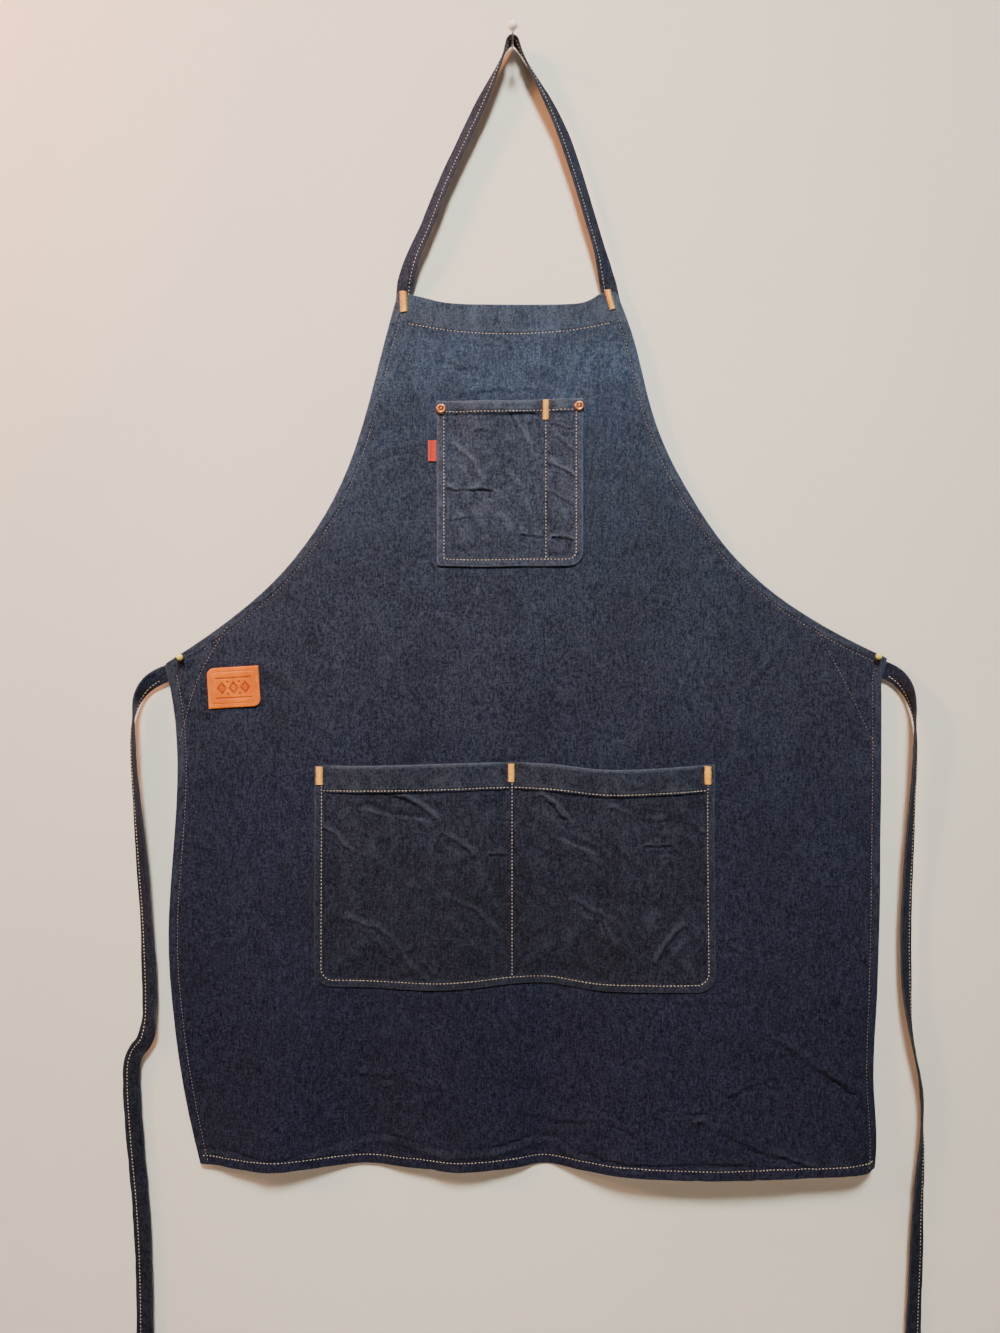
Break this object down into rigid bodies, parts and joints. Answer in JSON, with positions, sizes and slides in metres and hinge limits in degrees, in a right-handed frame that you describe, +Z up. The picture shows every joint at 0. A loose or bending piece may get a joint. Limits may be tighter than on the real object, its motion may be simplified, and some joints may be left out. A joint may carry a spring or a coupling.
{
  "type": "bib apron on a wall pin",
  "caption": "Denim bib apron with a neck strap, waist ties and open patch pockets, hanging by its strap from a ball-headed wall pin.",
  "frame": {"origin": "the hook pin's axis where it enters the wall", "axes": "+Z up, +Y into the wall, +X to the viewer's right; the wall is the plane y = 0"},
  "size_m": [0.8024, 0.0554, 1.4872],
  "materials": {
    "denim": "dark indigo denim, twill weave, lightly faded",
    "denim_tape": "dark indigo denim folded and sewn into tape",
    "leather": "tan leather with a pressed border and a plain device",
    "tab_cloth": "rust red woven tab, plain",
    "copper": "worn copper",
    "thread": "ecru sewing thread",
    "gold_thread": "gold bar tack thread, satin",
    "steel_wire": "bright drawn wire",
    "white_head": "glossy white ball",
    "yellow_head": "glossy yellow ball"
  },
  "bodies": {
    "hook": {"hook_pin_shank": "steel_wire", "hook_pin_head": "white_head"},
    "apron": {"body_panel": "denim", "left_corner_patch": "denim", "right_corner_patch": "denim", "chest_pocket": "denim", "waist_pocket": "denim", "neck_strap": "denim_tape", "leather_patch": "leather", "side_tab": "tab_cloth", "rivet_caps": "copper", "rivet_posts": "copper", "bib_hem_stitching": "thread", "left_armhole_stitching": "thread", "right_armhole_stitching": "thread", "left_side_stitching": "thread", "right_side_stitching": "thread", "bottom_hem_stitching": "thread", "left_corner_stitching": "thread", "right_corner_stitching": "thread", "chest_pocket_stitching": "thread", "chest_mouth_stitching": "thread", "pen_slot_stitching": "thread", "waist_pocket_stitching": "thread", "waist_mouth_stitching": "thread", "waist_divider_stitching": "thread", "neck_strap_stitching": "thread", "strap_bartack_left": "gold_thread", "strap_bartack_right": "gold_thread", "pen_slot_bartack": "gold_thread", "waist_pocket_bartacks": "gold_thread"},
    "left_tie": {"waist_tie_left": "denim_tape", "left_tie_stitching": "thread"},
    "right_tie": {"waist_tie_right": "denim_tape", "right_tie_stitching": "thread"},
    "left_pin": {"left_pin_shank": "steel_wire", "left_pin_head": "yellow_head"},
    "right_pin": {"right_pin_shank": "steel_wire", "right_pin_head": "yellow_head"}
  },
  "joints": [
    {"name": "apron_lift_off", "type": "slide", "parent": "hook", "child": "apron", "axis": [0, -0.7071, 0.7071], "range_m": [0, 0.06]},
    {"name": "left_tie_swing", "type": "hinge", "parent": "apron", "child": "left_tie", "pos_m": [-0.344, -0.005, -0.622], "axis": [0, 1, 0], "range_deg": [0, 80]},
    {"name": "right_tie_swing", "type": "hinge", "parent": "apron", "child": "right_tie", "pos_m": [0.367, -0.005, -0.618], "axis": [0, -1, 0], "range_deg": [0, 80]},
    {"name": "left_pin_pull", "type": "slide", "parent": "apron", "child": "left_pin", "axis": [0, -1, 0], "range_m": [0, 0.025]},
    {"name": "right_pin_pull", "type": "slide", "parent": "apron", "child": "right_pin", "axis": [0, -1, 0], "range_m": [0, 0.025]}
  ]
}
